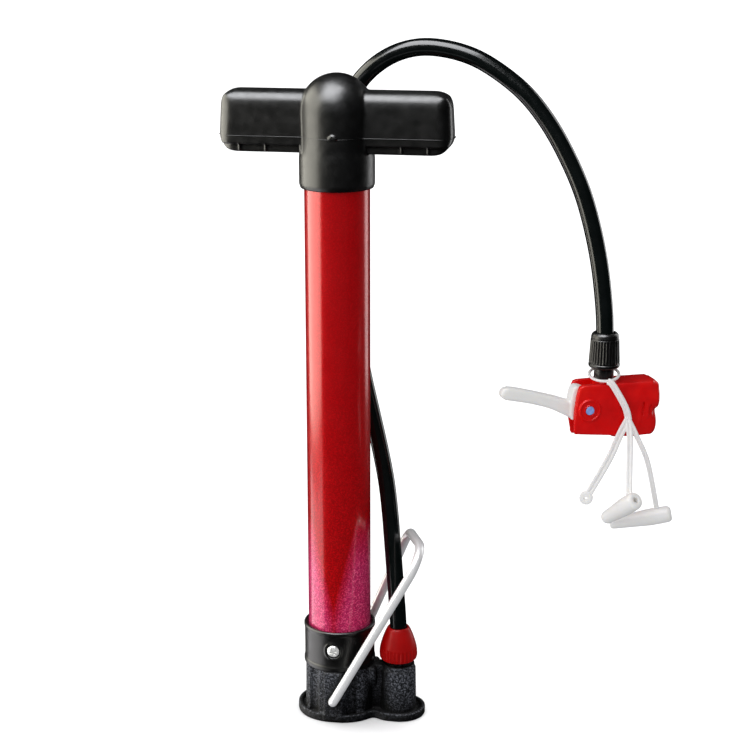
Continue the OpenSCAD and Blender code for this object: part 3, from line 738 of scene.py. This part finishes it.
def base_field(p):
    """The foot: flange, fluted column, web, port boss and the air way under them."""
    z = p[:, 2]
    r = np.hypot(p[:, 0], p[:, 1])
    port_r = np.hypot(p[:, 0] - PORT_X, p[:, 1])
    edge = flange_outline(p)
    flange = outside(edge + 0.7, np.abs(z - FLANGE_H / 2) - FLANGE_H / 2 + 0.7) - 0.7
    dish = outside(edge + 2.3, FLANGE_H - 1.8 - z)
    shape = cut(flange, dish, 0.5)
    column = outside(r - COLUMN_R + 0.4 + 0.012 * (z - FLANGE_H), z - COLUMN_H + 0.4, 1 - z) - 0.4
    spot = COLUMN_R + FLUTE_OUT
    for a in np.radians(FLUTE_ANGLES):
        flute = np.hypot(p[:, 0] - spot * math.cos(a), p[:, 1] - spot * math.sin(a)) - FLUTE_R
        column = cut(column, flute, 0.6)
    pad = block(p, (-PAD_W, -PAD_Y, 1), (PAD_W, PAD_Y, COLUMN_H - 0.4), 1.0)
    web = block(p, (WEB_X, -WEB_Y, 1), (PORT_X, WEB_Y, COLUMN_H - 0.9), 1.2)
    slope = 0.5 * np.maximum(24 - z, 0)
    swell = outside(np.abs(p[:, 1]) - SWELL_Y + 2.5 + slope, p[:, 0] - SWELL_X + 2.5,
                    8 - p[:, 0], z - COLUMN_H + 3.4, 8 - z) - 2.5
    web = join(web, swell, 0.6)
    step = 0.7 * np.clip((z - 27.6) / 0.5, 0, 1)
    boss = port_r - BOSS_R + 0.5 + 0.015 * (z - FLANGE_H) + step
    boss = outside(boss, z - COLUMN_H + 0.5, 1 - z) - 0.5
    shape = join(shape, join(join(column, pad, 0.6), join(web, boss, 0.7), 1.0), 1.6)
    shape = join(shape, bar(p, 2, (0, 0), BORE_R - 0.1, 10, 48, 0.5), 0.3)
    shape = join(shape, bar(p, 2, (PORT_X, 0), NECK_R, 10, NECK_TOP, 0.5), 0.3)
    peg_hole = outside(np.hypot(p[:, 0], z - PEG_Z) - PEG_R - 0.05, 14 - np.abs(p[:, 1]))
    shape = cut(shape, peg_hole, 0.3)
    slot = np.hypot(np.maximum(np.maximum(-p[:, 0], p[:, 0] - PORT_X), 0), p[:, 1])
    way = np.minimum(outside(slot - 2.5, z - 8), outside(slot - 5, z - 2))
    way = np.minimum(way, bar(p, 2, (0, 0), 3, 1, 60))
    way = np.minimum(way, bar(p, 2, (PORT_X, 0), 2, 1, 60))
    way = np.minimum(way, bar(p, 2, (PORT_X, 0), 4, 22, 60))
    return np.maximum(cut(shape, way, 0.1), -z)


piece("base_shell", netted(base_field, (-25.4, -22.4, -1), (50.6, 22.4, 49), GRID["base"]),
      "charcoal_plastic", stands_for=["base"])

# ---------------------------------------------------------------------------
# Foot peg
# ---------------------------------------------------------------------------

PEG_FRONT, PEG_BACK = (51.8, 107.8), (36.0, 101.0)
PEG_IN, PEG_BENDS = 14.6, (3.2, 14, 9, 3.2)
corners = [(0, -PEG_IN, PEG_Z), (0, -PEG_Y, PEG_Z), (PEG_FRONT[0], -PEG_Y, PEG_FRONT[1]),
           (PEG_BACK[0], PEG_Y, PEG_BACK[1]), (0, PEG_Y, PEG_Z), (0, PEG_IN, PEG_Z)]
peg_line = [corners[0]]
for before, corner, after, radius in zip(corners, corners[1:], corners[2:], PEG_BENDS):
    peg_line += bend(before, corner, after, radius)
peg_line.append(corners[-1])
piece("peg_wire", swept(peg_line, ring(PEG_R - 0.03, 28), (1, 0, 0)), "plated_wire", "peg",
      ["foot_peg"], crease=60)

# ---------------------------------------------------------------------------
# Handle
# ---------------------------------------------------------------------------

ARM_CORNER = 9.0
GATE_X, GATE_R = 1.6, 2.3
RIB_HALF = 0.4


def handle_field(p):
    """The T handle: hollow ribbed arms, domed hub, skirt and the bores for the rod and its nut."""
    x, y, z = np.abs(p[:, 0]), np.abs(p[:, 1]), p[:, 2]
    middle = (ARM_Z[0] + ARM_Z[1]) / 2
    tall = (ARM_Z[1] - ARM_Z[0]) / 2
    lean = 0.06 * np.maximum(z - PARTING_Z, 0)

    def profile(a, half, high_r, low_r):
        r = np.where(z > middle, high_r, low_r)
        return outside(a - half + r, np.abs(z - middle) - tall + r) - r

    arms = common(profile(x, ARM_END - lean, 10.0, 12.0), profile(y, ARM_SIDE, 11.0, 4.0), 2.5)
    plan = outside(x - ARM_END + ARM_CORNER, y - ARM_SIDE + ARM_CORNER) - ARM_CORNER
    arms = common(arms, plan + lean, 1.5)
    for start, end in ((HUB_R - 2, RIB_X[0] - RIB_HALF),
                       (RIB_X[0] + RIB_HALF, RIB_X[1] - RIB_HALF),
                       (RIB_X[1] + RIB_HALF, ARM_END + 5)):
        run = np.abs(x - (start + end) / 2) - (end - start) / 2
        recess = outside(run, z - LIP_Z, -plan - 1.8)
        hollow = outside(run, 0.8 - y, z - ARM_Z[0] - 22, plan + 3.6)
        arms = cut(cut(arms, recess, 0.2), hollow, 0.3)
    r = np.hypot(x, y)
    shoulder = DOME_TOP - HUB_R
    flare = np.clip((323 - z) / 7, 0, 1)
    wall = HUB_R + (SKIRT_R - HUB_R) * flare * flare * (3 - 2 * flare)
    wall = wall - 0.8 * np.clip(SKIRT_Z + 2.4 - z, 0, 2.4) / 2.4
    hub = np.where(z > shoulder, np.hypot(r, z - shoulder) - HUB_R, r - wall)
    hub = outside(hub + 0.5, SKIRT_Z + 0.5 - z) - 0.5
    shape = join(arms, hub, 0.9)
    gate = outside(np.hypot(p[:, 0] - GATE_X, z - PARTING_Z) - GATE_R, PARTING_Z - z,
                   p[:, 1] + HUB_R - 0.5, -HUB_R - 0.75 - p[:, 1])
    shape = join(shape, gate, 0.4)
    shape = cut(shape, outside(r - BARREL_R - 0.7, z - 321.1), 0.4)
    shape = cut(shape, outside(r - 4, z - 338), 0.1)
    shape = cut(shape, outside(r - 3, z - 350), 0.1)
    return cut(shape, outside(r - 5.9, np.abs(z - 342.5) - 2.6), 0.1)


piece("handle_shell",
      netted(handle_field, (-64, -21.5, SKIRT_Z - 1.5), (64, 21.5, DOME_TOP + 1.5),
             GRID["handle"]),
      "black_plastic", "rod_and_handle", ["handle"])

# The thin ridge that the mould's two halves leave round the handle
hub_end = math.degrees(math.acos(math.sqrt(HUB_R ** 2 - ARM_SIDE ** 2) / HUB_R))
quarter = [(HUB_R * math.cos(a), HUB_R * math.sin(a))
           for a in np.radians(np.linspace(90, hub_end, 12))]
quarter += [(x, ARM_SIDE) for x in np.linspace(16, ARM_END - ARM_CORNER, 8)]
quarter += [(ARM_END - ARM_CORNER + ARM_CORNER * math.cos(a),
             ARM_SIDE - ARM_CORNER + ARM_CORNER * math.sin(a))
            for a in np.radians(np.linspace(81, 0, 10))]
half = quarter + [(x, -y) for x, y in quarter[::-1][1:]]
loop = half + [(-x, y) for x, y in half[::-1][1:-1]]
n = len(loop)
ridge_points = []
for x, y in loop:
    way = Vector((x, y)).normalized()
    for out, up in ((-0.4, 0.22), (0.13, 0.08), (0.13, -0.08), (-0.4, -0.22)):
        ridge_points.append((x + way.x * out, y + way.y * out, PARTING_Z + up))
ridge_faces = [[i * 4 + k, (i + 1) % n * 4 + k, (i + 1) % n * 4 + (k + 1) % 4, i * 4 + (k + 1) % 4]
               for i in range(n) for k in range(4)]
piece("handle_parting_ridge", (ridge_points, ridge_faces), "black_plastic", "rod_and_handle")

# ---------------------------------------------------------------------------
# Nuts at the hose's ends
# ---------------------------------------------------------------------------


HOSE_NUT_RIBS, HEAD_NUT_RIBS = 28, 30


def scallops(count, low, high, depth, power, inner):
    """How far count flutes between two heights draw in the surface that lies outside inner."""
    fade = 0.8

    def push(z, angle, r):
        wave = (0.5 + 0.5 * np.cos(count * angle)) ** power
        band = np.clip((z - low) / fade, 0, 1) * np.clip((high - z) / fade, 0, 1)
        return -depth * wave * band * (r > inner)
    return push


hose_nut_outline = [
    (7.1, 33), (8.6, 33), (9.9, 33.5), (10.6, 34.6), (10.75, 36.5), (10.6, 39), (10.2, 41.2),
    (9.5, 43.8), (8.6, 46.6), (7.6, 49.2), (6.7, 51.2), (6.0, 52.3), (5.3, 52.5), (5.0, 52.3),
    (5.0, 45.2), (6.2, 45.2), (6.2, 44), (7.1, 44)]
piece("hose_nut_shell",
      turned(finer(soften(hose_nut_outline, 0.5, 3), 0.7), HOSE_NUT_RIBS * 12, (PORT_X, 0),
             scallops(HOSE_NUT_RIBS, 33.4, 40.6, 0.6, 1.6, NECK_R + 0.6)),
      "red_plastic", stands_for=["hose_nut"], crease=60)

# Heights in this outline are above the nut's foot
head_nut_outline = [
    (5.4, 0), (7.6, 0), (8.35, 0.8), (8.4, 2.0), (8.0, 2.3), (8.0, 2.6), (8.3, 2.9), (7.62, 15.4),
    (7.35, 15.7), (7.35, 16), (7.5, 16.3), (7.1, 18), (6.2, 19), (5.1, 19), (5.1, 10), (5.4, 10)]
piece(
    "head_nut_shell",
    turned([(r, z + NUT_FOOT) for r, z in finer(soften(head_nut_outline, 0.35, 3), 0.8)],
           HEAD_NUT_RIBS * 10, HEAD_POS,
           scallops(HEAD_NUT_RIBS, NUT_FOOT + 2.6, NUT_FOOT + 15.6, 0.42, 1.5, 6.5)),
    "black_plastic", stands_for=["head_nut"], crease=50)

# ---------------------------------------------------------------------------
# Pump head
# ---------------------------------------------------------------------------

PIN_R, PIN_BOSS_R = 2.5, 6.1
CHEEK, CAM_ROOM = 4.4, 9.3
CHAMBER_END, CHAMBER_SIDE, CHAMBER_Z = 7.9, 4.15, (173.2, 190.1)
SCHRADER_BORE, PRESTA_BORE = 6.5, 4.2
SCHRADER_MOUTH, PRESTA_MOUTH = 4.6, 3.6


def head_field(p):
    """The head and its valve end, with the lever's slot, the chambers and the two sockets."""
    u, v, z = p.T
    drop = np.clip((184 - z) / 12, 0, 1) * np.clip((4 - u) / 12, 0, 1) * (v + 7.8)
    side = inside_outline(u - 0.17 * drop, z + 0.25 * drop, [
        (-13.2, 199.5), (-15.1, 198.8), (-16, 196.8), (-16.9, 192), (-17.7, 185.8),
        (-18.2, 179.5), (-18.3, 174.4), (-17.4, 172.9), (4, 170.9), (14, 169.6), (CAP_U, 170.6),
        (CAP_U, HEAD_TOP), (1, HEAD_TOP)])
    width = 7.8 + 0.6 * np.clip((u + 16) / 20, 0, 1)
    shape = outside(side + 1.2, np.abs(v) - width + 1.2) - 1.2
    top = bar(p, 0, (0, SCHRADER_Z), 9, 4, 29.6, 2.6)
    top = join(top, block(p, (16, -8.3, 185.5), (29.5, 8.3, HEAD_TOP - 0.1), 3.2), 1.0)
    foot = bar(p, 0, (0, PRESTA_Z), 8.4, 4, 28.3, 2.4)
    shape = join(shape, join(top, foot, 1.5), 1.5)
    shape = cut(shape, outside(np.abs(z - 183.6) - 0.1, 28.6 - u), 2.6)
    shape = join(shape, bar(p, 2, (0, 0), 6.5, HEAD_TOP - 4, HEAD_TOP + 1.2, 0.5), 0.8)
    pin = np.hypot(u - PIN_U, z - PIN_Z)
    boss = outside(pin - PIN_BOSS_R + 0.5, np.abs(v) - 8.85 + 0.5) - 0.5
    shape = join(shape, boss, 0.5)
    shape = cut(shape, outside(np.abs(pin - 4.1) - 0.9, 8.35 - np.abs(v)), 0.35)
    for spot, middle, half in ((18.3, 183.7, 5.8), (22.6, 184.3, 3.8)):
        ridge = outside(np.abs(u - spot) - 0.25, np.abs(z - middle) - half, np.abs(v) - 8.6)
        shape = join(shape, ridge, 1.1)
    for spot, middle, half in ((20.3, 185.2, 3.4), (24.3, 184.3, 2.6)):
        groove = outside(np.abs(u - spot) - 0.3, np.abs(z - middle) - half, 7.9 - np.abs(v))
        shape = cut(shape, groove, 0.9)
    shape = cut(shape, block(p, (-40, -CHEEK, 150), (SLOT_END, CHEEK, 220)), 0.5)
    shape = cut(shape, outside(pin - CAM_ROOM, np.abs(v) - CHEEK), 0.2)
    shape = cut(shape, outside(pin - PIN_R, np.abs(v) - 30), 0.1)
    chamber = block(p, (SLOT_END - 1, -CHAMBER_SIDE, CHAMBER_Z[0]),
                    (CHAMBER_END, CHAMBER_SIDE, CHAMBER_Z[1]))
    chamber = np.minimum(chamber, bar(p, 0, (0, SCHRADER_Z), SCHRADER_BORE, 4.5, CAP_U))
    chamber = np.minimum(chamber, bar(p, 0, (0, PRESTA_Z), PRESTA_BORE, 4.5, CAP_U))
    chamber = np.minimum(chamber, bar(p, 2, (0, 0), 4, 193, 220))
    shape = cut(shape, chamber, 0.1)
    shape = cut(shape, bar(p, 0, (0, SCHRADER_Z), SCHRADER_MOUTH, CAP_U - 1, 60), 0.5)
    return cut(shape, bar(p, 0, (0, PRESTA_Z), PRESTA_MOUTH, CAP_U - 1, 60), 0.5)


head = piece("head_shell",
             in_head(netted(head_field, (-20, -10.2, 166.6), (31, 10.2, 202.2), GRID["head"])),
             "red_plastic", stands_for=["head_body", "head_cap"])


def lever_field(p):
    """The lever about its pin: its cam and root between the cheeks, and its finger arm."""
    u, v, z = p.T
    pin = np.hypot(u, z)
    cam = np.hypot(u + 0.63, z + 1.36)
    root = inside_outline(u, z, [
        (4.2, 5), (3.4, 7.8), (0.6, 10.3), (-1.8, 11.3), (-3.7, 12), (-6, 12.4), (-7.7, 11.6),
        (-8.7, 8.8), (-9.3, 5), (-9.3, -3), (-8.5, -5.8), (-5, -6.9), (0, -6)])
    root = outside(np.minimum(root, cam - 7.6) + 0.8, np.abs(v) - 4.1 + 0.8) - 0.8
    arm = inside_outline(u, z, [
        (-7, 3.6), (-12, 5.1), (-16.4, 6.7), (-22.6, 8.5), (-28.8, 10.2), (-35, 11.8),
        (-41.1, 13.2), (-43.6, 13.5), (-46, 13), (-47.4, 11.6), (-47.8, 9.9), (-47.1, 8.2),
        (-44.9, 6.7), (-41, 5.9), (-36.4, 5), (-30.2, 3.6), (-24, 1.8), (-19.3, 0.1),
        (-14.6, -2.2), (-9.8, -4.8), (-7, -5.6)])
    thick = 3.5 - 0.35 * np.clip((-u - 10.5) / 35, 0, 1)
    arm = outside(arm + 1.9, np.abs(v) - thick + 1.9) - 1.9
    return cut(join(root, arm, 1.0), pin - 2.55, 0.2)


lever_points, lever_faces = netted(lever_field, (-49, -5, -10), (8.4, 5, 14.6), GRID["head"])
lever_points = lever_points + [PIN_U, 0, PIN_Z]
lever = piece("lever_arm", in_head((lever_points, lever_faces)), "milky_plastic", "clamp_lever",
              ["lever"])

pin_outline = [(0.01, -8.7), (2, -8.9), (PIN_R, -8.4), (PIN_R, 8.4), (2, 8.9), (0.01, 8.7)]
pin_points, pin_faces = turned(soften(pin_outline, 0.25, 3), 48)
pin_points = np.stack([PIN_U + pin_points[:, 0], pin_points[:, 2], PIN_Z - pin_points[:, 1]], 1)
pin = piece("pin_rod", in_head((pin_points, pin_faces)), "blue_plastic", stands_for=["lever_pin"],
            crease=50)

# ---------------------------------------------------------------------------
# Lanyard and its two adapters
# ---------------------------------------------------------------------------


def strap_section(width, thick):
    """Outline of a rounded strap with a shallow channel down each face."""
    w, t = width / 2, thick / 2
    top = [(w, t * 0.3), (w - 0.25, t * 0.85), (w - 0.55, t), (w * 0.36, t), (w * 0.2, t * 0.55),
           (0, t * 0.45)]
    top += [(-a, b) for a, b in top[::-1][1:]]
    return top + [(-a, -b) for a, b in top]


RING_R, RING_TILT, RING_AT = 7.9, math.radians(14), (143.2, 7, 203.6)
neck_ring = []
for a in np.linspace(0, 2 * np.pi, 72, endpoint=False):
    x, y = RING_R * math.cos(a), RING_R * math.sin(a)
    neck_ring.append((RING_AT[0] + x, RING_AT[1] + y * math.cos(RING_TILT),
                      RING_AT[2] + y * math.sin(RING_TILT)))


def looped(line, section):
    """The section carried round a closed line."""
    line = np.array(line, float)
    along = np.roll(line, -1, 0) - np.roll(line, 1, 0)
    along /= np.linalg.norm(along, axis=1)[:, None]
    centre = line.mean(0)
    out = line - centre
    out /= np.linalg.norm(out, axis=1)[:, None]
    up = np.cross(along, out)
    section = np.array(section, float)
    n, m = len(section), len(line)
    points = (line[:, None] + section[None, :, :1] * out[:, None]
              + section[None, :, 1:] * up[:, None])
    faces = [[i * n + k, i * n + (k + 1) % n, (i + 1) % m * n + (k + 1) % n, (i + 1) % m * n + k]
             for i in range(m) for k in range(n)]
    return points.reshape(-1, 3), faces


def eyelet():
    """A flat round eye that stands square to Y."""
    points, faces = turned(soften([(0.8, -1.2), (3.7, -1.2), (3.7, 1.2), (0.8, 1.2)], 0.7), 40)
    points = np.stack([points[:, 0], points[:, 2], -points[:, 1]], 1) + EYELET
    return points, faces


strap = merged(
    looped(neck_ring, ring(0.85, 16, 0.75)),
    swept(curve(STEM, 6), strap_section(3.8, 1.6), (0, 1, 0.2)),
    *[swept(curve(leg, 8), strap_section(width, 1.5), (0, 1, 0.2))
      for leg, width in zip(LEGS, LEG_WIDTHS)],
    eyelet(),
)
lanyard = piece("lanyard_strap", strap, "milky_plastic", stands_for=["adapter_lanyard"])
remesh = lanyard.modifiers.new("one moulding", "REMESH")
remesh.mode = "VOXEL"
remesh.voxel_size = 0.24 * MM
remesh.use_smooth_shade = True
ease = lanyard.modifiers.new("ease", "SMOOTH")
ease.factor, ease.iterations = 0.5, 3


def nozzle(name, ends, narrow, wide, node):
    """A tapered adapter from its narrow end to its wide, open end."""
    foot, mouth = (np.array(e, float) for e in ends)
    size = np.linalg.norm(mouth - foot)
    outline = [(0.9, 0.1), (narrow - 0.9, 0), (narrow - 0.1, 1.0), (narrow + 0.1, 2.4),
               (wide - 0.35, size * 0.5), (wide, size * 0.64), (wide, size * 0.8),
               (wide - 0.2, size - 1.3), (wide - 1.3, size), (1.8, size), (1.5, size - 0.8),
               (1.5, size - 8), (0.9, size - 8.4)]
    points, faces = turned(soften(outline, 0.8, 4), 64)
    turn = Vector((0, 0, 1)).rotation_difference(Vector(mouth - foot)).to_matrix()
    return piece(name, (points @ np.array(turn).T + foot, faces), "milky_plastic",
                 stands_for=[node], crease=60)


cone = nozzle("cone_adapter", CONE_ENDS, 3.5, 4.9, "cone_nozzle")
ball = nozzle("ball_adapter", BALL_ENDS, 3.0, 4.6, "ball_nozzle")

# ---------------------------------------------------------------------------
# Floor and light
# ---------------------------------------------------------------------------

floor_mesh = bpy.data.meshes.new("floor")
floor_mesh.from_pydata([(-30, -30, 0), (30, -30, 0), (30, 30, 0), (-30, 30, 0)], [], [(0, 1, 2, 3)])
floor = bpy.data.objects.new("floor", floor_mesh)
bpy.context.scene.collection.objects.link(floor)
floor_paint = Paint("floor_paper", Roughness=0.9, Specular_IOR_Level=0.1)
floor_paint.colour(floor_paint.ramp(floor_paint.noise(60, 3), (0.3, (0.9, 0.9, 0.9)),
                                    (0.7, (0.92, 0.92, 0.92))))
floor_mesh.materials.append(floor_paint.material)
floor.visible_glossy = False
floor.visible_diffuse = False

world = bpy.data.worlds.new("studio")
world.use_nodes = True
backdrop = world.node_tree.nodes["Background"]
backdrop.inputs["Color"].default_value = (0.97, 0.98, 1, 1)
backdrop.inputs["Strength"].default_value = 0.5
world.cycles_visibility.glossy = False
bpy.context.scene.world = world

# The floor has a light of its own, and the softboxes light only the pump
only_floor = bpy.data.collections.new("only_floor")
only_floor.objects.link(floor)
all_but_floor = bpy.data.collections.new("all_but_floor")
all_but_floor.objects.link(floor)
all_but_floor.collection_objects[0].light_linking.link_state = "EXCLUDE"


def lamp(name, kind, place, target, power, tint, lights):
    """A lamp at place that faces target and lights only what is in the collection lights."""
    data = bpy.data.lights.new(name, kind)
    data.energy = power
    data.color = tint
    made = bpy.data.objects.new(name, data)
    made.location = place
    made.rotation_euler = (Vector(target) - Vector(place)).to_track_quat("-Z", "Y").to_euler()
    made.visible_camera = False
    made.light_linking.receiver_collection = lights
    bpy.context.scene.collection.objects.link(made)
    return made


def softbox(name, place, target, size, radiance, tint=(1, 1, 1)):
    """A rectangular softbox of that radiance that makes highlights and adds no other light."""
    power = radiance * math.pi * size[0] * size[1]
    made = lamp(name, "AREA", place, target, power, tint, all_but_floor)
    made.data.shape = "RECTANGLE"
    made.data.size, made.data.size_y = size
    made.visible_diffuse = False


softbox("left_box", (-0.61, -0.09, 0.37), (0, 0, 0.2), (0.86, 0.9), 6.4, (1, 0.97, 0.85))
softbox("table_glow", (-0.61, -0.09, -0.32), (0, 0, 0.05), (0.86, 0.46), 3.0, (1, 0.98, 1))
softbox("overhead", (-0.13, -0.34, 1.05), (0, 0, 0.3), (0.7, 0.8), 15.0, (0.96, 0.97, 1))
softbox("right_rim", (0.55, 0.5, 0.35), (0.03, 0, 0.2), (0.3, 0.8), 3.0)
softbox("room", (0.3, -2.4, 0.6), (0, 0, 0.2), (4.0, 2.4), 0.03)
front = lamp("front_light", "SUN", (-0.8, -1, 0.7), (0, 0, 0), 1.5, (1, 0.99, 0.97), all_but_floor)
front.data.angle = math.radians(70)
front.visible_glossy = False
sun = lamp("floor_light", "SUN", (0, 0, 2), (0, 0, 0), 3.3, (1, 1, 1), only_floor)
sun.data.angle = math.radians(75)

view = bpy.context.scene.view_settings
view.view_transform = "Standard"
view.look = "None"
